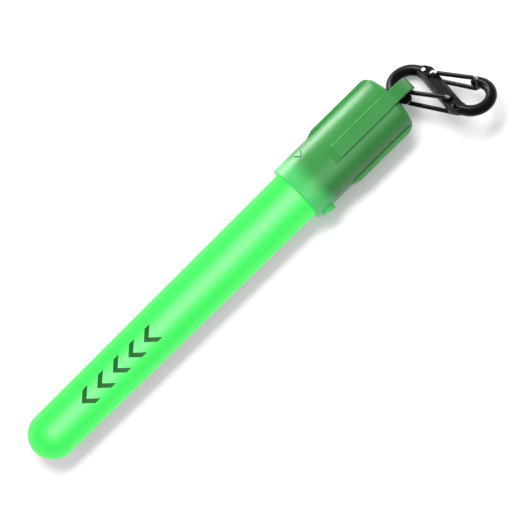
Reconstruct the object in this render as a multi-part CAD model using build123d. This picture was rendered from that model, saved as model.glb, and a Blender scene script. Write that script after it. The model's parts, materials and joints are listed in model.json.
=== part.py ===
from build123d import *
import os
from math import asin, atan2, cos, degrees, radians, sin, sqrt

# A hand-held LED glow baton: a frosted light tube with a domed tip, a twist head that holds the
# cells and the LED, and a double-gate S clip through the bail on the head's end.
#
# The part is modelled lying down, in millimetres. While it is built, X runs along the tube's axis
# from the head's rim (x = 0) towards the bail, and the tube's axis is Y = Z = 0. On export it is
# lifted so that the bottom rib lies on Z = 0, with the origin in the middle of that rib's flat.

# ---------------------------------------------------------------- driving dimensions

# light tube
TUBE_LENGTH = 91.75  # from the head's rim to the tip
TIP_RADIUS = 6.25
MOUTH_RADIUS = 6.875  # the tube widens to this from the tip, as its mould needs
TUBE_WALL = 1.2
SEAT_DEPTH = 4.6  # full-width part of the tube inside the head
NECK_RADIUS = 6.1
NECK_END = 11.2
NECK_BORE = 5.0
NECK_STEP = 2.0  # where the cavity narrows to the neck's bore

# seal
O_RING_SECTION = 0.55
O_RING_X = 2.4
O_RING_GROOVE = 5.8
O_RING_SLACK = 0.01
O_RING_GROOVE_PLAY = 0.1

# diffuser liner
LINER_WALL = 0.3
LINER_GAP = 0.25
LINER_DOME_GAP = 1.0  # from the start of the tip's dome
LINER_NECK_GAP = 0.5

# twist joint: two lugs on the neck turn in grooves in the head
TWIST_TRAVEL = 60.0
LUG_X = (7.2, 8.8)
LUG_RADIUS = 6.85
LUG_ANGLE = 20.0
GROOVE_RADIUS = 7.1
GROOVE_PLAY = 0.2
GROOVE_PLAY_ANGLE = 2.0
GROOVE_DEPTH = 0.5  # how far the grooves reach inside the chamber's wall
ENTRY_ANGLE = 16.0  # the lugs leave through the entry slots this far past the end of the travel

# head shell
HEAD_RADIUS = 8.15
HEAD_END = 34.3  # flat middle of the domed end
HEAD_DOME_RADIUS = 24.0
HEAD_DOME_CUT = 0.54  # how much of the dome the flat takes off
HEAD_CORNER = 1.5
HEAD_FLAT_ROUND = 3.0
RIM_ROUND = 0.35
SOCKET_RADIUS = 6.95
CHAMBER_RADIUS = 6.4
END_WALL = 1.9
CHAMBER_ROUND = 0.8

# ribs
RIB_TOP = 8.82
RIB_WIDTH = 4.0
RIB_START = 11.6
RIB_RAMP = 2.3
RIB_CORNER = 2.2
RIB_EDGE = 0.3
RIB_END_GAP = 0.9  # the ribs end this far before the head does
RIB_TOE = 0.15  # a rib starts this far inside the head's surface
RIB_FOOT = (0.4, 1.6)  # how far the ramp and the rib reach into the wall

# bail: an arch from the top rib over the head's end to the bottom rib
BAIL_APEX = 40.25
BAIL_CREASE = 33.5  # where the arch leaves the rib's flat top
BAIL_THICKNESS = 1.0
BAIL_WIDTH = 3.7
BAIL_ROUND = 0.3
BAIL_ROOT = 31.0
BAIL_ROOT_GAP = 0.3  # the roots end this far inside the head
BAIL_ROOT_DEPTH = 3.2
BAIL_SPARE_ANGLE = 8.0

# side lug, twist mark
SIDE_LUG_X = (1.3, 4.8)
SIDE_LUG_WIDTH = 3.4
SIDE_LUG_HEIGHT = 1.0
SIDE_LUG_STEP = (3.1, 0.65)  # up to this x, the half nearer the rim is this low
SIDE_LUG_ROUND = 0.5
SIDE_LUG_SINK = 0.8
MARK_X = 5.9
MARK_SIZE = 2.2
MARK_ANGLE = 49.0
MARK_HEIGHT = 0.25
MARK_ROUND = 0.2

# electronics
CELL_RADIUS = 3.95
CELL_HEIGHT = 3.6
CELL_CAP_RADIUS = 3.3
CELL_CAP_HEIGHT = 0.35
CELL_COUNT = 4
BOARD_X = 12.5
BOARD_THICKNESS = 1.0
BOARD_RADIUS = 6.0
LED_RADIUS = 1.5
LED_FLANGE_RADIUS = 1.9
LED_TIP = 6.9
LED_FLANGE_X = 11.5
LED_BASE = 12.3
LEAD_RADIUS = 0.25
LEAD_PITCH = 2.54
LEAD_END = 14.0
REFLECTOR_RADIUS = 4.7
REFLECTOR_MOUTH = 6.6
CARRIER_BORE = 4.05
CARRIER_RADIUS = 4.9
CARRIER_FIN = 6.2
CARRIER_FIN_WIDTH = 1.2
CARRIER_END = 0.65
CARRIER_SLOT = 0.4  # depth of the slot for the contact strip
STACK_X = 14.4  # where the first cell begins
SPRING_ROOM = 1.9
PLATE = 0.25  # thickness of the sheet-metal contacts
STRIP_WIDTH = 2.0
STRIP_PLAY = 0.1
CONTACT_RING_OUTER = 6.0
CONTACT_RING_INNER = 5.2
CELL_BASE_ROUND = 0.3
CELL_TOP_ROUND = 0.2
CELL_CAP_ROUND = 0.15
REFLECTOR_WALL = 0.35
REFLECTOR_PLAY = 0.1
LEAD_PLAY = 0.05
SPRING_WIRE = 0.2
SPRING_RADIUS = 2.7
SPRING_CONE = -30.0
SPRING_TURNS = 3
BUTTON_RADIUS = 2.2  # positive contact: a low dished button
BUTTON_STEP = 1.6
BUTTON_TIP = 0.7
FINGER_Y = 5.3  # switch fingers
FINGER_WIDTH = 1.0
FINGER_FOOT = (-1.6, 0.8)
FINGER_RISER = (0.55, 0.8)
FINGER_GAP = 0.1

# S clip, in its own plane: X along the line of the two hooks' centres, Z its front
HOOK_CENTRE = 8.68
HOOK_RADIUS = 4.64  # to the middle of the bar
BAR_RADIUS = 1.45
NOSE_X = 7.75
BAR_END_X = 5.6  # where the hook's bar ends inside the boss
PLATE_HALF = 1.2  # half the thickness of the spine and bosses
SPINE_HALF = 1.875
SPINE_ANGLE = 37.4
BOSS_OUTER = 6.0
BOSS_START = (-8.5, 5.2)
BOSS_SIDES = (-6.9, -4.7)
BOSS_CORNER = 4.3  # from the middle of the clip, along the spine
BOSS_ROUNDS = (1.5, 1.2, 0.8)
HOOK_MOUTH_ANGLES = (65, 78)  # the plate follows the inside of a hook to the second angle
PLATE_ROUND = 0.3
NOTCH_PLAY = 0.12

# wire gates
WIRE_RADIUS = 0.58
WIRE_BEND = 0.85
WIRE_LEG_Z = 2.15
FRONT_ANCHOR = (-3.78, 3.35)
REAR_ANCHOR = (-6.53, 4.5)
CROSSBAR = (8.15, 4.2)
GATE_TRAVEL = 20.0
ANCHOR_PLAY = 0.09
SLOT_SPARE = 1.0  # degrees of slot beyond the travel, at each end
REAR_END_Z = 1.25
FRONT_END_Z = -1.1

# how the clip hangs on the bail
INNER_HOOK_AT = (40.4, -0.06, -3.0)  # centre of the inner hook
CLIP_SWING = -59.29  # to the side, about Z
CLIP_LIFT = 22.53  # outer hook up
CLIP_ROLL = -27.1  # about the clip's own length

ORIGIN_X = 22.5  # middle of the bottom rib's flat, from the rim

TO_TABLE = Pos(-ORIGIN_X, 0, RIB_TOP)

SINK = 0.3  # how far a piece that is added on reaches into what it stands on
OVER = 1.0  # how far a cut reaches past what it cuts
TINY = 0.05  # keeps two faces from lying in one plane


# ---------------------------------------------------------------- helpers


def outline(*points):
    """A closed flat shape from its corners."""
    return make_face(Polyline(*points, close=True))


def rounded(face, corners):
    """The shape with some corners rounded: each entry is (x, y, radius)."""
    for x, y, radius in corners:
        face = fillet(face.vertices().sort_by_distance(Vector(x, y, 0))[0], radius)
    return face


def turned(face):
    """A solid of revolution about the tube's axis from a shape drawn as (x, radius)."""
    return revolve(face, Axis.X)


def rod(x0, x1, radius):
    """A round bar along the tube's axis."""
    return Pos((x0 + x1) / 2, 0, 0) * Rot(0, 90, 0) * Cylinder(radius, x1 - x0)


def ring(x0, x1, outer, inner):
    return rod(x0, x1, outer) - rod(x0 - OVER, x1 + OVER, inner)


def sector(x0, x1, outer, inner, start, size):
    """Part of a ring about the tube's axis. Angles are in degrees about X, from +Z towards -Y."""
    face = outline((x0, inner), (x1, inner), (x1, outer), (x0, outer))
    return Rot(90 + start, 0, 0) * revolve(face, Axis.X, size)


def block(x, y, z):
    """A box from three (low, high) pairs."""
    size = [b - a for a, b in (x, y, z)]
    middle = [(a + b) / 2 for a, b in (x, y, z)]
    return Pos(*middle) * Box(*size)


def tube_radius(x):
    """Outside radius of the drafted tube."""
    start = TIP_RADIUS - TUBE_LENGTH
    return TIP_RADIUS + (MOUTH_RADIUS - TIP_RADIUS) * (x - start) / (0 - start)


# ---------------------------------------------------------------- light tube


def domed_rod(wall, end_x, end_radius):
    """The tube's outside shape, or its cavity when wall is more than zero."""
    radius = TIP_RADIUS - wall
    dome_x = TIP_RADIUS - TUBE_LENGTH
    tip = (dome_x - radius, 0)
    shoulder = (dome_x, radius)
    middle = (dome_x - radius * cos(radians(45)), radius * sin(radians(45)))
    side = Polyline(shoulder, (end_x, end_radius), (end_x, 0), tip)
    return turned(make_face(ThreePointArc(tip, middle, shoulder) + side))


def light_tube():
    body = domed_rod(0, 0, MOUTH_RADIUS)
    body += rod(0, SEAT_DEPTH, MOUTH_RADIUS) + rod(SEAT_DEPTH, NECK_END, NECK_RADIUS)
    body -= domed_rod(TUBE_WALL, -NECK_STEP, tube_radius(-NECK_STEP) - TUBE_WALL)
    body -= rod(-NECK_STEP - TINY, NECK_END + OVER, NECK_BORE)
    groove_half = O_RING_SECTION + O_RING_GROOVE_PLAY
    body -= ring(O_RING_X - groove_half, O_RING_X + groove_half, MOUTH_RADIUS + OVER, O_RING_GROOVE)
    for side in (0, 180):
        body += sector(*LUG_X, LUG_RADIUS, NECK_RADIUS - SINK, side - LUG_ANGLE / 2, LUG_ANGLE)
    return body


def o_ring():
    middle = O_RING_GROOVE + O_RING_SLACK + O_RING_SECTION
    return turned(Pos(O_RING_X, middle) * Circle(O_RING_SECTION))


def diffuser_liner():
    def inside(x, gap):
        return tube_radius(x) - TUBE_WALL - gap

    start = TIP_RADIUS - TUBE_LENGTH + LINER_DOME_GAP
    end = -NECK_STEP - LINER_NECK_GAP
    return turned(
        outline(
            (start, inside(start, LINER_GAP)),
            (end, inside(end, LINER_GAP)),
            (end, inside(end, LINER_GAP + LINER_WALL)),
            (start, inside(start, LINER_GAP + LINER_WALL)),
        )
    )


def contact_ring():
    return ring(NECK_END, NECK_END + PLATE, CONTACT_RING_OUTER, CONTACT_RING_INNER)


# ---------------------------------------------------------------- head shell


def head_body():
    """The turned part of the head with its socket, chamber and domed end."""
    sphere_x = HEAD_END + HEAD_DOME_CUT - HEAD_DOME_RADIUS
    flat_radius = sqrt(HEAD_DOME_RADIUS**2 - (HEAD_END - sphere_x) ** 2)
    edge_x = sphere_x + sqrt(HEAD_DOME_RADIUS**2 - HEAD_RADIUS**2)
    inner_end = HEAD_END - END_WALL
    face = rounded(
        outline(
            (0, SOCKET_RADIUS),
            (0, HEAD_RADIUS),
            (edge_x, HEAD_RADIUS),
            (HEAD_END, flat_radius),
            (HEAD_END, 0),
            (inner_end, 0),
            (inner_end, CHAMBER_RADIUS),
            (SEAT_DEPTH, CHAMBER_RADIUS),
            (SEAT_DEPTH, SOCKET_RADIUS),
        ),
        [
            (0, HEAD_RADIUS, RIM_ROUND),
            (edge_x, HEAD_RADIUS, HEAD_CORNER),
            (HEAD_END, flat_radius, HEAD_FLAT_ROUND),
            (inner_end, CHAMBER_RADIUS, CHAMBER_ROUND),
        ],
    )
    return turned(face)


def rib(edge_round):
    """One rib on the top, drawn in the XZ plane."""
    ramp_end = RIB_START + RIB_RAMP
    end = HEAD_END - RIB_END_GAP
    ramp_foot, foot = [HEAD_RADIUS - depth for depth in RIB_FOOT]
    face = rounded(
        outline(
            (RIB_START, ramp_foot),
            (RIB_START, HEAD_RADIUS - RIB_TOE),
            (ramp_end, RIB_TOP),
            (end, RIB_TOP),
            (end, foot),
            (ramp_end, foot),
        ),
        [(end, RIB_TOP, RIB_CORNER)],
    )
    bar = extrude(Plane.XZ * face, RIB_WIDTH / 2, both=True)
    if not edge_round:
        return bar
    top_edges = bar.edges().filter_by(Axis.X).group_by(Axis.Z)[-1]
    return fillet(top_edges, edge_round)


def bail():
    """The arch: a strap with rounded edges, bent over the head's end, and solid roots on the ribs."""
    rise = BAIL_APEX - BAIL_CREASE
    radius = (RIB_TOP**2 + rise**2) / (2 * rise)
    centre_x = BAIL_APEX - radius
    half_angle = degrees(asin(RIB_TOP / radius)) + BAIL_SPARE_ANGLE
    section = Pos(radius - BAIL_THICKNESS / 2, 0) * RectangleRounded(BAIL_THICKNESS, BAIL_WIDTH, BAIL_ROUND)
    strap = revolve(Rot(0, half_angle, 0) * section, Axis.Y, -2 * half_angle)
    strap = Pos(centre_x, 0, 0) * strap
    half = BAIL_WIDTH / 2
    strap &= block((BAIL_ROOT, BAIL_APEX + OVER), (-half, half), (-RIB_TOP, RIB_TOP))
    disc = Pos(centre_x, 0) * Circle(radius - TINY)
    middle = Pos((BAIL_ROOT + HEAD_END) / 2, 0)
    length = HEAD_END - BAIL_ROOT
    root = middle * Rectangle(length - BAIL_ROOT_GAP, 2 * (RIB_TOP - TINY))
    hollow = middle * Rectangle(length, 2 * (HEAD_RADIUS - BAIL_ROOT_DEPTH))
    roots = extrude(Plane.XZ * ((root & disc) - hollow), half - TINY, both=True)
    return strap + roots


def side_lug():
    reach = HEAD_RADIUS + SIDE_LUG_HEIGHT
    half = SIDE_LUG_WIDTH / 2
    pad = block(SIDE_LUG_X, (-reach, -HEAD_RADIUS + SIDE_LUG_SINK), (-half, half))
    pad = fillet(pad.edges().filter_by(Axis.Y), SIDE_LUG_ROUND)
    step_x, low = SIDE_LUG_STEP
    cut_x = (SIDE_LUG_X[0] - OVER, step_x)
    pad -= block(cut_x, (-reach - OVER, -HEAD_RADIUS - low), (-half - OVER, half + OVER))
    return pad


def twist_mark():
    """A raised arrowhead that points round the head."""
    half = MARK_SIZE / 2
    face = rounded(outline((0, half), (MARK_SIZE, half), (half, -half)), [(half, -half, MARK_ROUND)])
    mark = extrude(face, SINK + MARK_HEIGHT)
    return Rot(-MARK_ANGLE, 0, 0) * Pos(MARK_X, 0, HEAD_RADIUS - SINK) * mark


def bayonet_cut(side):
    """The groove that one lug turns in, and the slot that lets it in."""
    slot_angle = LUG_ANGLE + 2 * GROOVE_PLAY_ANGLE
    start = side - slot_angle / 2
    x0, x1 = LUG_X[0] - GROOVE_PLAY, LUG_X[1] + GROOVE_PLAY
    inner = CHAMBER_RADIUS - GROOVE_DEPTH
    to_entry = TWIST_TRAVEL + ENTRY_ANGLE
    groove = sector(x0, x1, GROOVE_RADIUS, inner, start, slot_angle + to_entry)
    entry = sector(SEAT_DEPTH - SINK, x1, GROOVE_RADIUS, inner, start + to_entry, slot_angle)
    return groove + entry


def head_shell():
    shell = head_body()
    for turn in (0, 90, 270):
        shell += Rot(turn, 0, 0) * rib(RIB_EDGE)
    shell += Rot(180, 0, 0) * rib(0)  # the rib that the head rests on keeps square edges
    shell += bail()
    shell += side_lug()
    shell += twist_mark()
    shell -= rod(SEAT_DEPTH, HEAD_END - END_WALL - CHAMBER_ROUND - TINY, CHAMBER_RADIUS)
    for side in (0, 180):
        shell -= bayonet_cut(side)
    return shell


# ---------------------------------------------------------------- what is inside the head


def button_cell(index):
    x = STACK_X + index * CELL_HEIGHT
    can_end = x + CELL_HEIGHT - CELL_CAP_HEIGHT
    face = rounded(
        outline(
            (x, 0),
            (x, CELL_RADIUS),
            (can_end, CELL_RADIUS),
            (can_end, CELL_CAP_RADIUS),
            (x + CELL_HEIGHT, CELL_CAP_RADIUS),
            (x + CELL_HEIGHT, 0),
        ),
        [
            (x, CELL_RADIUS, CELL_BASE_ROUND),
            (can_end, CELL_RADIUS, CELL_TOP_ROUND),
            (x + CELL_HEIGHT, CELL_CAP_RADIUS, CELL_CAP_ROUND),
        ],
    )
    return turned(face)


STACK_END = STACK_X + CELL_COUNT * CELL_HEIGHT
PLATE_X = STACK_END + SPRING_ROOM
CARRIER_X = (BOARD_X + BOARD_THICKNESS + TINY, PLATE_X + PLATE + CARRIER_END)


def battery_carrier():
    x0, x1 = CARRIER_X
    sleeve = rod(x0, x1, CARRIER_RADIUS)
    fin_half = CARRIER_FIN_WIDTH / 2
    for turn in (45, 135, 225, 315):
        fin = block((x0, x1), (-fin_half, fin_half), (CARRIER_BORE + SINK, CARRIER_FIN))
        sleeve += Rot(turn, 0, 0) * fin
    bore_end = PLATE_X + PLATE + TINY
    sleeve -= rod(x0 - OVER, bore_end, CARRIER_BORE)
    half = STRIP_WIDTH / 2 + STRIP_PLAY
    outer = (CARRIER_RADIUS - CARRIER_SLOT, CARRIER_RADIUS + OVER)
    sleeve -= block((x0 - OVER, bore_end), (-half, half), outer)
    sleeve -= block((PLATE_X - STRIP_PLAY, bore_end), (-half, half), (CARRIER_BORE - OVER, CARRIER_RADIUS))
    return sleeve


def negative_contact():
    half = STRIP_WIDTH / 2
    top = CARRIER_RADIUS - STRIP_PLAY
    plate = rod(PLATE_X, PLATE_X + PLATE, CELL_CAP_RADIUS)
    tab = block((PLATE_X, PLATE_X + PLATE), (-half, half), (CELL_CAP_RADIUS - SINK, top))
    strip = block((BOARD_X + BOARD_THICKNESS, PLATE_X + PLATE), (-half, half), (top - PLATE, top))
    return plate + tab + strip


def battery_spring():
    height = SPRING_ROOM - 2 * SPRING_WIRE - 2 * TINY
    path = Helix(pitch=height / SPRING_TURNS, height=height, radius=SPRING_RADIUS, cone_angle=SPRING_CONE)
    section = Plane(origin=path @ 0, z_dir=path % 0) * Circle(SPRING_WIRE)
    spring = sweep(section, path=path, is_frenet=True)
    return Pos(STACK_END + SPRING_WIRE + TINY + height, 0, 0) * Rot(0, -90, 0) * spring


def positive_contact():
    x = BOARD_X + BOARD_THICKNESS
    face = outline(
        (x, 0),
        (x, BUTTON_RADIUS),
        (x + PLATE, BUTTON_RADIUS),
        (x + PLATE, BUTTON_STEP),
        (STACK_X, BUTTON_TIP),
        (STACK_X, 0),
    )
    return turned(face) - lead_pair(LEAD_RADIUS + LEAD_PLAY)


def lead_pair(radius):
    leads = [Pos(0, side * LEAD_PITCH / 2, 0) * rod(LED_BASE, LEAD_END, radius) for side in (-1, 1)]
    return leads[0] + leads[1]


def circuit_board():
    board = rod(BOARD_X, BOARD_X + BOARD_THICKNESS, BOARD_RADIUS)
    return board - lead_pair(LEAD_RADIUS + LEAD_PLAY)


def led():
    dome_x = LED_TIP + LED_RADIUS
    middle = (dome_x - LED_RADIUS * cos(radians(45)), LED_RADIUS * sin(radians(45)))
    lens = ThreePointArc((LED_TIP, 0), middle, (dome_x, LED_RADIUS))
    rest = Polyline(
        (dome_x, LED_RADIUS),
        (LED_FLANGE_X, LED_RADIUS),
        (LED_FLANGE_X, LED_FLANGE_RADIUS),
        (LED_BASE, LED_FLANGE_RADIUS),
        (LED_BASE, 0),
        (LED_TIP, 0),
    )
    return turned(make_face(lens + rest))


def led_reflector():
    base = LED_FLANGE_X - REFLECTOR_WALL
    hole = LED_RADIUS + REFLECTOR_PLAY
    face = outline(
        (REFLECTOR_MOUTH, REFLECTOR_RADIUS),
        (LED_FLANGE_X, REFLECTOR_RADIUS),
        (LED_FLANGE_X, hole),
        (base, hole),
        (REFLECTOR_MOUTH, REFLECTOR_RADIUS - REFLECTOR_WALL),
    )
    return turned(face)


def chip(y, z, width, length, height):
    """A small component on the board's tube side."""
    return Pos(BOARD_X - height / 2, y, z) * Box(height, width, length)


def switch_contacts():
    """Two spring fingers that the contact ring bridges."""
    riser_end = NECK_END + PLATE + FINGER_GAP
    fingers = []
    for side in (-FINGER_Y, FINGER_Y):
        across = (side - FINGER_WIDTH / 2, side + FINGER_WIDTH / 2)
        foot = block((BOARD_X - PLATE, BOARD_X), across, FINGER_FOOT)
        riser = block((riser_end, BOARD_X), across, FINGER_RISER)
        fingers.append(foot + riser)
    return fingers[0] + fingers[1]


# ---------------------------------------------------------------- S clip


def half_turn(shape):
    """The clip's two halves are the same, turned half round in its plane."""
    return Rot(0, 0, 180) * shape


def hook_bar():
    """The round bar of the inner hook, from its nose round to the upper boss."""
    c, r = HOOK_CENTRE, HOOK_RADIUS
    path = Line((-NOSE_X, -r), (-c, -r))
    path += ThreePointArc((-c, -r), (-c - r, 0), (-c, r))
    path += Line((-c, r), (-BAR_END_X, r))
    bar = sweep(Plane(origin=(-NOSE_X, -r, 0), z_dir=(-1, 0, 0)) * Circle(BAR_RADIUS), path=path)
    bar += Pos(-NOSE_X, -r, 0) * Sphere(BAR_RADIUS)
    bar += Pos(-BAR_END_X, r, 0) * Sphere(BAR_RADIUS)
    return bar


def spine_plate():
    """The flat middle of the S with a boss at each end."""
    along = Vector(cos(radians(SPINE_ANGLE)), -sin(radians(SPINE_ANGLE)))
    across = Vector(sin(radians(SPINE_ANGLE)), cos(radians(SPINE_ANGLE)))
    clear = HOOK_CENTRE * sin(radians(SPINE_ANGLE)) - SPINE_HALF  # from a hook's centre to the spine
    tangent = Vector(-HOOK_CENTRE, 0) + across * clear
    between, mouth = [
        Vector(-HOOK_CENTRE + clear * cos(radians(angle)), clear * sin(radians(angle)))
        for angle in HOOK_MOUTH_ANGLES
    ]
    corner = across * SPINE_HALF - along * BOSS_CORNER
    boss = [Vector(x, BOSS_OUTER) for x in BOSS_SIDES]
    upper = [Vector(*BOSS_START), *boss, corner]
    edges = Curve()
    for turn in (1, -1):
        a, b, c = mouth * turn, between * turn, tangent * turn
        edges += ThreePointArc(c, b, a)
        edges += Polyline(a, *[p * turn for p in upper], tangent * -turn)
    face = make_face(edges)
    for turn in (1, -1):
        corners = [p * turn for p in (*boss, corner)]
        face = rounded(face, [(p.X, p.Y, size) for p, size in zip(corners, BOSS_ROUNDS)])
    plate = extrude(face, PLATE_HALF, both=True)
    rims = plate.faces().group_by(Axis.Z)
    return fillet(rims[0].edges() + rims[-1].edges(), PLATE_ROUND)


def anchor_slot(anchor):
    """A short arc slot round the gate's axis, so that a wire end can move in it."""
    offset = Vector(*anchor) - GATE_AXIS
    radius = offset.length
    angle = degrees(atan2(offset.Y, offset.X))
    width = 2 * (WIRE_RADIUS + ANCHOR_PLAY)
    track = CenterArc((0, 0), radius, angle - GATE_TRAVEL - SLOT_SPARE, GATE_TRAVEL + 2 * SLOT_SPARE)
    slot = Pos(GATE_AXIS.X, GATE_AXIS.Y) * SlotArc(track, width)
    return extrude(slot, 2 * BAR_RADIUS, both=True)


def nose_notch():
    """Where the outer gate's crossbar nests in the outer nose. It opens into the hook."""
    x, y = CROSSBAR
    radius = WIRE_RADIUS + NOTCH_PLAY
    opening = Pos(x, y - BAR_RADIUS) * Rectangle(2 * radius, 2 * BAR_RADIUS)
    cut = Pos(x, y) * Circle(radius) + opening
    return extrude(cut, 2 * BAR_RADIUS, both=True)


GATE_AXIS = (Vector(*FRONT_ANCHOR) + Vector(*REAR_ANCHOR)) * 0.5


def clip_frame():
    frame = spine_plate() + hook_bar() + half_turn(hook_bar())
    cut = anchor_slot(FRONT_ANCHOR) + anchor_slot(REAR_ANCHOR) + nose_notch()
    return frame - cut - half_turn(cut)


def outer_gate():
    """One bent wire: rear end, rear leg, crossbar, front leg, front end."""
    (fx, fy), (rx, ry), (cx, cy), z = FRONT_ANCHOR, REAR_ANCHOR, CROSSBAR, WIRE_LEG_Z
    path = FilletPolyline(
        (rx, ry, REAR_END_Z),
        (rx, ry, -z),
        (cx, cy, -z),
        (cx, cy, z),
        (fx, fy, z),
        (fx, fy, FRONT_END_Z),
        radius=WIRE_BEND,
    )
    section = Plane(origin=(rx, ry, REAR_END_Z), z_dir=(0, 0, -1)) * Circle(WIRE_RADIUS)
    return sweep(section, path=path)


hook_offset = Rot(0, 0, CLIP_SWING) * Rot(0, -CLIP_LIFT, 0) * Pos(HOOK_CENTRE, 0, 0)
CLIP_CENTRE = Vector(*INNER_HOOK_AT) + hook_offset.position
CLIP_PLACE = Pos(*CLIP_CENTRE) * Rot(0, 0, CLIP_SWING) * Rot(0, -CLIP_LIFT, 0) * Rot(CLIP_ROLL, 0, 0)


# ---------------------------------------------------------------- the whole baton

parts = {}
parts["light_tube"] = light_tube()
parts["o_ring"] = o_ring()
parts["diffuser_liner"] = diffuser_liner()
parts["contact_ring"] = contact_ring()
parts["head_shell"] = head_shell()
for index in range(CELL_COUNT):
    parts[f"button_cell_{index + 1}"] = button_cell(index)
parts["battery_carrier"] = battery_carrier()
parts["battery_spring"] = battery_spring()
parts["negative_contact"] = negative_contact()
parts["positive_contact"] = positive_contact()
parts["circuit_board"] = circuit_board()
parts["controller_chip"] = chip(0, 3.3, 2.4, 1.9, 0.7)
parts["resistor"] = chip(3.3, -0.6, 0.8, 1.6, 0.45)
parts["capacitor"] = chip(-3.3, -0.6, 0.8, 1.6, 0.6)
parts["switch_contacts"] = switch_contacts()
parts["led"] = led()
parts["led_leads"] = lead_pair(LEAD_RADIUS)
parts["led_reflector"] = led_reflector()
parts["clip_frame"] = CLIP_PLACE * clip_frame()
parts["outer_gate"] = CLIP_PLACE * outer_gate()
parts["inner_gate"] = CLIP_PLACE * half_turn(outer_gate())

os.makedirs("parts", exist_ok=True)
for name, solid in parts.items():
    export_step(TO_TABLE * solid, f"parts/{name}.step")
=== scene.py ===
import json
import math

import bpy
from mathutils import Matrix, Vector


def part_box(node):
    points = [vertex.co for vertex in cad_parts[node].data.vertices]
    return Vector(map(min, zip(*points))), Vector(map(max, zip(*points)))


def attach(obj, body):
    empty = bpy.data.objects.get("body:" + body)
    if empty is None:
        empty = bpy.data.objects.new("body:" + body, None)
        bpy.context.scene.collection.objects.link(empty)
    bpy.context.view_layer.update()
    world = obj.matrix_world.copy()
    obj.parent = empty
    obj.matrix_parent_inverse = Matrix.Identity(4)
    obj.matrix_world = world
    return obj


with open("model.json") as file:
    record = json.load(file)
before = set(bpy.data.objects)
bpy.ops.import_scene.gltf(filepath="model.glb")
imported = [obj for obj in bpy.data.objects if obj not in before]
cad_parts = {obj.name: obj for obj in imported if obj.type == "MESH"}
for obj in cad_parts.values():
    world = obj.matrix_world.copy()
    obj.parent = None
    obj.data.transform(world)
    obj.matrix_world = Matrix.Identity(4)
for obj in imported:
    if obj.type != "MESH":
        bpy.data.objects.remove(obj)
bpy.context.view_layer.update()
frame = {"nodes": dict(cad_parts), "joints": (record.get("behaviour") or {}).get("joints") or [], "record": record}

MM = 0.001

joints = {joint["name"]: joint for joint in frame["joints"]}
tube = frame["nodes"]["light_tube"]
tube_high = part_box("light_tube")[1]
head_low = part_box("head_shell")[0]

# The middle of the head's rim, on the stick's own axis: X runs from here towards the clip.
rim = Vector(joints["head_twist"]["pos_m"])


# ---------------------------------------------------------------- the clip's own axes

# X runs along the line of the two hooks' centres, and Z out of the front. The outer gate turns
# about an axis through PIVOT, and the inner gate about one as far the other side of the middle.
PIVOT = Vector((-5.155, 3.925, 0.0)) * MM
outer_pivot = Vector(joints["outer_gate_open"]["pos_m"])
inner_pivot = Vector(joints["inner_gate_open"]["pos_m"])
clip_front = -Vector(joints["outer_gate_open"]["axis"]).normalized()
clip_centre = (outer_pivot + inner_pivot) / 2
pivot_turn = Matrix.Rotation(-math.atan2(PIVOT.y, PIVOT.x), 3, clip_front)
clip_along = pivot_turn @ (outer_pivot - clip_centre).normalized()
clip_across = clip_front.cross(clip_along)


def on_clip(x, y, z):
    """A point given in the clip's own axes, in mm."""
    return clip_centre + (clip_along * x + clip_across * y + clip_front * z) * MM


# Where the gates' wire shows bright, as bright bare metal: worn bare at the wire's ends, and painted highlights
# round its bends. On the clip's axes in mm: x, y, z, the distance within which it is fully bright, and the
# distance beyond which it is black.
WORN_AND_HIGHLIGHT_SPOTS = [
    (-6.53, 4.5, 1.25, 0.6, 0.85),
    (-3.5, 3.35, 2.6, 1.1, 1.7),
    (8.5, 4.7, 2.6, 0.8, 1.4),
    (9.1, 4.3, 1.0, 0.5, 1.0),
    (8.4, 4.2, -2.4, 0.5, 1.1),
    (3.6, -3.2, 2.7, 0.4, 1.0),
]


# ---------------------------------------------------------------- materials


def linear(code):
    """A colour written as #rrggbb, as the linear colour that a shader takes."""
    parts = [int(code[i : i + 2], 16) / 255 for i in (1, 3, 5)]
    made = [p / 12.92 if p <= 0.04045 else ((p + 0.055) / 1.055) ** 2.4 for p in parts]
    return (*made, 1.0)


# The part of a noise's range that shows.
MIDDLE = (0.3, 0.7)


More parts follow.
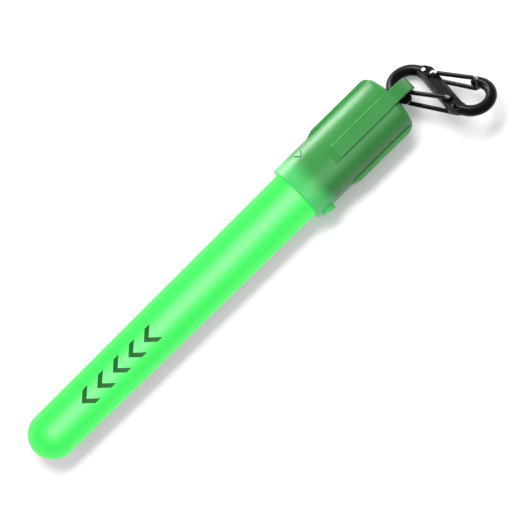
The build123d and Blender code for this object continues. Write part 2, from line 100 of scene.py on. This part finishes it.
class Finish:
    """A Principled material made with nodes that read only the piece's own coordinates."""

    def __init__(self, name, **constants):
        self.name = name
        self.material = bpy.data.materials.new(name)
        self.material.use_nodes = True
        self.tree = self.material.node_tree
        self.shader = self.tree.nodes["Principled BSDF"]
        for socket, value in constants.items():
            self.shader.inputs[socket.replace("_", " ")].default_value = value
        self.place = self.node("ShaderNodeTexCoord").outputs["Object"]

    def node(self, kind, settings=None, **inputs):
        made = self.tree.nodes.new(kind)
        for key, value in (settings or {}).items():
            setattr(made, key, value)
        for key, value in inputs.items():
            self.feed(made.inputs[key.replace("_", " ")], value)
        return made

    def feed(self, socket, value):
        if isinstance(value, bpy.types.NodeSocket):
            self.tree.links.new(value, socket)
        else:
            socket.default_value = value

    def noise(self, scale, detail=3.0, roughness=0.5):
        """Noise with features of about 1/scale metres."""
        settings = {"Scale": scale, "Detail": detail, "Roughness": roughness}
        return self.node("ShaderNodeTexNoise", Vector=self.place, **settings).outputs["Fac"]

    def soft_noise(self, scale, to_low=0.0, to_high=1.0, **settings):
        """Noise whose middle range is spread from to_low to to_high."""
        return self.span(self.noise(scale, **settings), *MIDDLE, to_low, to_high)

    def span(self, value, low, high, to_low=0.0, to_high=1.0, smooth=False):
        """value between low and high, as to_low to to_high."""
        made = self.node("ShaderNodeMapRange", {"clamp": True}, Value=value)
        if smooth:
            made.interpolation_type = "SMOOTHSTEP"
        ends = {"From Min": low, "From Max": high, "To Min": to_low, "To Max": to_high}
        for key, number in ends.items():
            made.inputs[key].default_value = number
        return made.outputs["Result"]

    def math(self, operation, a, b):
        made = self.node("ShaderNodeMath", {"operation": operation})
        self.feed(made.inputs[0], a)
        self.feed(made.inputs[1], b)
        return made.outputs["Value"]

    def along(self, axis):
        """How far a point is along X, Y or Z, in metres."""
        return self.node("ShaderNodeSeparateXYZ", Vector=self.place).outputs[axis]

    def near(self, point, inner, outer):
        """1 within inner metres of a point, and 0 beyond outer."""
        made = self.node("ShaderNodeVectorMath", {"operation": "DISTANCE"})
        self.feed(made.inputs[0], self.place)
        self.feed(made.inputs[1], point)
        return self.span(made.outputs["Value"], inner, outer, 1.0, 0.0, smooth=True)

    def mix(self, factor, a, b):
        """Colour a where factor is 0, and b where it is 1."""
        made = self.node("ShaderNodeMix", {"data_type": "RGBA"})
        for socket, value in zip([made.inputs[0], made.inputs[6], made.inputs[7]], (factor, a, b)):
            self.feed(socket, value)
        return made.outputs[2]

    def colour(self, value):
        self.feed(self.shader.inputs["Base Color"], value)

    def roughness(self, value):
        self.feed(self.shader.inputs["Roughness"], value)

    def bump(self, height, depth):
        """A bump that is depth mm deep."""
        made = self.node("ShaderNodeBump", Height=height, Distance=depth * MM, Strength=1.0)
        self.feed(self.shader.inputs["Normal"], made.outputs["Normal"])

    def glow(self, colour, strength):
        self.feed(self.shader.inputs["Emission Color"], colour)
        self.feed(self.shader.inputs["Emission Strength"], strength)


def plastic(name, dark, light, rough, patch=120.0, grain=5000.0, depth=0.004, **constants):
    """Plastic: slow changes of tone, a fine grain and an uneven gloss."""
    made = Finish(name, **constants)
    speck = made.noise(grain, detail=2.0, roughness=0.6)
    made.colour(made.mix(made.soft_noise(patch, detail=2.0), linear(dark), linear(light)))
    made.roughness(made.span(speck, *MIDDLE, *rough))
    made.bump(speck, depth)
    return made


def metal(name, dark, light, rough):
    """Bare or plated metal: a fine grain, uneven tarnish."""
    made = Finish(name, Metallic=1.0)
    tarnish = made.noise(700.0, detail=4.0)
    made.colour(made.mix(made.span(tarnish, 0.35, 0.65), linear(dark), linear(light)))
    made.roughness(made.span(tarnish, *MIDDLE, *rough))
    made.bump(made.noise(9000.0), 0.003)
    return made


def lit_head():
    """Green translucent plastic: the light inside shows in the collar and fades up the head, and painted shade
    dims it towards the side away from the key light.
    """
    tones = "#3f994a", "#449f4f"
    made = plastic("head_green", *tones, (0.30, 0.40), 90.0, 4200.0, 0.010, Specular_IOR_Level=0.45)
    waver = made.soft_noise(150.0, -0.8 * MM, 0.8 * MM, detail=1.0)
    reach = made.math("ADD", made.along("X"), waver)
    lit = made.span(reach, rim.x + 1.5 * MM, rim.x + 7.0 * MM, 0.36, 0.0, smooth=True)
    across = made.along("Y")
    # Painted shade: the collar's glow is dimmed towards the -Y side, the side away from the key light.
    glow_painted_shade = made.span(across, rim.y - 9.0 * MM, rim.y - 4.0 * MM, 0.75, 1.0, smooth=True)
    made.glow(linear("#62ff90"), made.math("MULTIPLY", lit, glow_painted_shade))
    return made


def lit_tube():
    """Frosted green plastic with light inside."""
    tones = "#2c8038", "#31863e"
    made = plastic("tube_green", *tones, (0.46, 0.54), 60.0, 3500.0, 0.003, Specular_IOR_Level=0.9)
    cloud = made.noise(60.0, detail=2.0)
    made.glow(linear("#20f452"), made.span(cloud, 0.2, 0.8, 0.83, 0.87))
    return made


def wire_worn_and_highlighted():
    """Blackened spring wire, worn bare at its ends, with painted highlights round its bends as bright bare metal.
    """
    made = Finish("gate_wire")
    wear = made.noise(1800.0, detail=4.0, roughness=0.65)
    bare_and_highlight = 0.0
    # Partly real wear and partly painted highlight: the bright metal at the wire's ends is worn bare, and at its
    # bends it is painted highlight.
    for x, y, z, inner, outer in WORN_AND_HIGHLIGHT_SPOTS:
        spot = made.near(on_clip(x, y, z), inner * MM, outer * MM)
        bare_and_highlight = made.math("MAXIMUM", bare_and_highlight, spot)
    ragged = made.math("ADD", bare_and_highlight, made.span(wear, 0.35, 0.65, -0.1, 0.1))
    bare_and_highlight = made.span(ragged, 0.35, 0.6)
    made.colour(made.mix(bare_and_highlight, linear("#0f100f"), linear("#dcdad0")))
    made.feed(made.shader.inputs["Metallic"], bare_and_highlight)
    made.feed(made.shader.inputs["Specular IOR Level"], made.span(wear, *MIDDLE, 0.22, 0.3))
    made.roughness(made.span(wear, *MIDDLE, 0.24, 0.36))
    made.bump(wear, 0.004)
    return made


def cast_black():
    """Satin black finish over a cast frame: faintly uneven, with a soft sheen."""
    made = Finish("clip_black", Specular_IOR_Level=0.16)
    pits = made.noise(2600.0, roughness=0.6)
    made.colour(made.mix(made.soft_noise(350.0), linear("#080a09"), linear("#0f1110")))
    made.roughness(made.span(pits, *MIDDLE, 0.26, 0.36))
    made.bump(pits, 0.012)
    return made


FINISHES = [
    lit_head(),
    lit_tube(),
    cast_black(),
    wire_worn_and_highlighted(),
    plastic("carrier_black", "#17181a", "#202224", (0.4, 0.55)),
    metal("cell_steel", "#b8bab8", "#d5d6d2", (0.16, 0.3)),
    metal("spring_steel", "#a9aaa8", "#c6c7c4", (0.2, 0.32)),
    metal("contact_brass", "#b08a45", "#cfab62", (0.22, 0.38)),
    plastic("board_green", "#1d5a34", "#26693f", (0.3, 0.4), 400.0),
    plastic("chip_black", "#16171a", "#212327", (0.5, 0.65), 900.0, 8000.0),
    plastic("capacitor_tan", "#9a7c56", "#b09068", (0.45, 0.6), 900.0, 8000.0),
    plastic("led_lens", "#bfe3c6", "#d5f2da", (0.08, 0.14), 300.0),
    plastic("white_plastic", "#dfe2dc", "#ebede8", (0.35, 0.5)),
    plastic("seal_rubber", "#1b1b1b", "#262626", (0.55, 0.7), 500.0),
]
by_slot = {finish.name: finish.material for finish in FINISHES}

for part in frame["record"]["subparts"]:
    node = frame["nodes"][part["node"]]
    node.data.materials.clear()
    node.data.materials.append(by_slot[part["material_slot"]])


# ---------------------------------------------------------------- pieces made here


def piece(name, verts, faces, material):
    """A mesh object in the scene."""
    mesh = bpy.data.meshes.new(name)
    mesh.from_pydata(verts, [], faces)
    mesh.materials.append(material)
    made = bpy.data.objects.new(name, mesh)
    bpy.context.scene.collection.objects.link(made)
    return made


def skin(start, rings, sides):
    """Faces round a closed run of rings of points, and over its two ends."""
    faces = []
    for ring in range(start, start + (rings - 1) * sides, sides):
        for side in range(sides):
            a, b = ring + side, ring + (side + 1) % sides
            faces.append((a, b, b + sides, a + sides))
    faces.append(tuple(reversed(range(start, start + sides))))
    last = start + (rings - 1) * sides
    faces.append(tuple(range(last, last + sides)))
    return faces


# Direction marks printed on the tube.
MARKS = 5
MARK_PITCH = 5.4 * MM
MARK_STROKE = 1.7 * MM
MARK_HALF = 2.3 * MM
MARK_SLOPE = 1.1
MARK_FIRST = rim.x - 53.5 * MM
MARK_ROWS = 33
INK = 0.03 * MM


def marks():
    """Chevrons that point to the tube's tip, as thin ink lying on its surface."""
    verts, faces = [], []
    for mark in range(MARKS):
        faces += skin(len(verts), MARK_ROWS, 4)
        for row in range(MARK_ROWS):
            across = MARK_HALF * (2 * row / (MARK_ROWS - 1) - 1)
            front = MARK_FIRST - mark * MARK_PITCH + abs(across) * MARK_SLOPE
            back = front + MARK_STROKE
            for x, lift in ((front, INK), (back, INK), (back, -INK), (front, -INK)):
                above = Vector((x, rim.y + across, tube_high.z + MM))
                top = tube.ray_cast(above, Vector((0, 0, -1)))[1]
                verts.append((x, rim.y + across, top.z + lift))
    ink = plastic("mark_ink", "#1a6429", "#23702f", (0.45, 0.6), 500.0, 6000.0)
    made = piece("direction_marks", verts, faces, ink.material)
    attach(made, "tube")
    return made


# Ridges cast along the clip's spine.
SPINE_ANGLE = math.radians(37.4)
# In mm: distance along the spine, offset towards its edge, half width, half thickness.
RIDGE = [
    (-7.4, 1.70, 0.36, 1.10),
    (-6.6, 1.50, 0.46, 1.34),
    (-5.6, 1.38, 0.50, 1.48),
    (-4.0, 1.34, 0.50, 1.50),
    (-2.4, 1.32, 0.52, 1.46),
    (-0.8, 1.32, 0.50, 1.38),
    (0.8, 1.36, 0.44, 1.28),
    (2.4, 1.42, 0.36, 1.16),
]
RIDGE_STEPS = 6
RIDGE_SIDES = 28


def eased(rows, steps):
    """The rows, with others between them on a Catmull-Rom curve through them."""
    made = []
    before, after = [rows[0]] + rows, rows[1:] + [rows[-1], rows[-1]]
    for four in zip(before, rows[:-1], after, after[1:]):
        for step in range(steps):
            t = step / steps
            weights = (
                -0.5 * t + t**2 - 0.5 * t**3,
                1.0 - 2.5 * t**2 + 1.5 * t**3,
                0.5 * t + 2.0 * t**2 - 1.5 * t**3,
                -0.5 * t**2 + 0.5 * t**3,
            )
            made.append([sum(w * v for w, v in zip(weights, values)) for values in zip(*four)])
    return made + [rows[-1]]


def ridges():
    """Two soft ridges, one from each hook's bar, that die away down the spine."""
    verts, faces = [], []
    rings = eased(RIDGE, RIDGE_STEPS)
    cos, sin = math.cos(SPINE_ANGLE), math.sin(SPINE_ANGLE)
    for turn in (1, -1):
        faces += skin(len(verts), len(rings), RIDGE_SIDES)
        for along, offset, half_width, half_depth in rings:
            for side in range(RIDGE_SIDES):
                angle = math.tau * side / RIDGE_SIDES
                aside = half_width * math.cos(angle) - offset
                x = along * cos + aside * sin
                y = aside * cos - along * sin
                verts.append(on_clip(turn * x, turn * y, half_depth * math.sin(angle)))
    made = piece("clip_ridges", verts, faces, by_slot["clip_black"])
    made.data.shade_smooth()
    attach(made, "clip")
    return made


printed = marks()
cast_ridges = ridges()


# ---------------------------------------------------------------- camera

# The camera looks almost straight down, and the stick runs up the picture to the right.
TOWARDS_CAMERA = Vector((-0.0837, -0.0609, 0.9946)).normalized()
ALONG_STICK = Vector((0.9965, -0.0051, 0.0835))
STICK_TURN = math.radians(44.6)
LENS = 300.0
SENSOR = 36.0
PICTURE_WIDTH = 131.25 * MM
AIM = Vector((-40.5, -6.2, 8.8)) * MM
FARTHEST = 20.0

across_stick = TOWARDS_CAMERA.cross(ALONG_STICK).normalized()
right = ALONG_STICK * math.cos(STICK_TURN) - across_stick * math.sin(STICK_TURN)
right.normalize()
camera_axes = Matrix((right, TOWARDS_CAMERA.cross(right), TOWARDS_CAMERA)).transposed()
camera_at = AIM + TOWARDS_CAMERA * PICTURE_WIDTH * LENS / SENSOR

camera = bpy.data.objects.new("camera", bpy.data.cameras.new("camera"))
bpy.context.scene.collection.objects.link(camera)
camera.data.lens = LENS
camera.data.sensor_width = SENSOR
camera.data.clip_end = FARTHEST
camera.matrix_world = Matrix.Translation(camera_at) @ camera_axes.to_4x4()
bpy.context.scene.camera = camera


# ---------------------------------------------------------------- floor and light

FLOOR_HALF = 4.0
DAYLIGHT = 0.24
WHITE = (1.0, 1.0, 1.0, 1.0)


def floor():
    """A plain pale sheet that the object lies on."""
    paper = Finish("floor", Specular_IOR_Level=0.1)
    tooth = paper.noise(900.0, detail=4.0)
    paper.colour(paper.mix(tooth, linear("#f2f2f2"), linear("#f6f6f6")))
    paper.roughness(paper.span(tooth, *MIDDLE, 0.8, 0.9))
    corners = [(x * FLOOR_HALF, y * FLOOR_HALF, 0) for x, y in ((-1, -1), (1, -1), (1, 1), (-1, 1))]
    made = piece("floor", corners, [(0, 1, 2, 3)], paper.material)
    made.visible_diffuse = False
    return made


def softbox(name, towards, reach, size, radiance, hidden_from, lit=()):
    """A soft rectangular light that faces the baton from reach metres, for some pieces or all."""
    data = bpy.data.lights.new(name, "AREA")
    data.shape = "RECTANGLE"
    data.size, data.size_y = size
    data.energy = radiance * math.pi * size[0] * size[1]
    made = bpy.data.objects.new(name, data)
    bpy.context.scene.collection.objects.link(made)
    facing = Vector(towards).normalized()
    along = (Vector((1, 0, 0)) - facing * facing.x).normalized()
    turn = Matrix((along, facing.cross(along), facing)).transposed()
    middle = (head_low + tube_high) / 2
    made.matrix_world = Matrix.Translation(middle + facing * reach) @ turn.to_4x4()
    made.visible_camera = False
    setattr(made, "visible_" + hidden_from, False)
    if lit:
        group = bpy.data.collections.new(name)
        for node in lit:
            group.objects.link(node)
        made.light_linking.receiver_collection = group
    return made


sheet = floor()
clip_names = ("clip_frame", "outer_gate", "inner_gate")
clip = [node for name, node in frame["nodes"].items() if name in clip_names]
head = [node for node in frame["nodes"].values() if node is not tube and node not in clip]
clip.append(cast_ridges)
head.append(printed)

# Diffuse light. The key's shadow falls on a floor that also has a light of its own.
softbox("key", (0.03, 0.34, 0.94), 1.0, (0.5, 0.24), 20.5, "glossy")
softbox("side", (-0.10, 0.92, 0.36), 0.4, (0.4, 0.25), 1.0, "glossy", head)
floor_fill = softbox("floor_fill", (0.0, 0.0, 1.0), 1.2, (1.6, 1.6), 1.4, "glossy", [sheet])
floor_fill.light_linking.blocker_collection = floor_fill.light_linking.receiver_collection

# Reflections.
softbox("head_card", (0.0, 1.0, 0.0), 0.036, (0.06, 0.0175), 8.5, "diffuse", head)
softbox("head_overhead", (0.08, -0.45, 0.89), 0.5, (0.5, 0.40), 1.9, "diffuse", head)
softbox("tube_overhead", (0.08, 0.02, 0.99), 0.5, (0.5, 0.48), 6.2, "diffuse", [tube])
softbox("clip_card", (0.0, 1.0, -0.01), 0.16, (0.16, 0.05), 20.0, "diffuse", clip)
softbox("clip_glints", (0.35, 0.80, 0.45), 0.3, (0.03, 0.10), 55.0, "diffuse", clip)

# The tube shines on nothing: its light is already in the head's own finish.
tube.visible_diffuse = False

world = bpy.data.worlds.new("studio")
world.use_nodes = True
background = world.node_tree.nodes["Background"]
background.inputs["Color"].default_value = WHITE
background.inputs["Strength"].default_value = DAYLIGHT
bpy.context.scene.world = world
bpy.context.scene.view_settings.view_transform = "Standard"
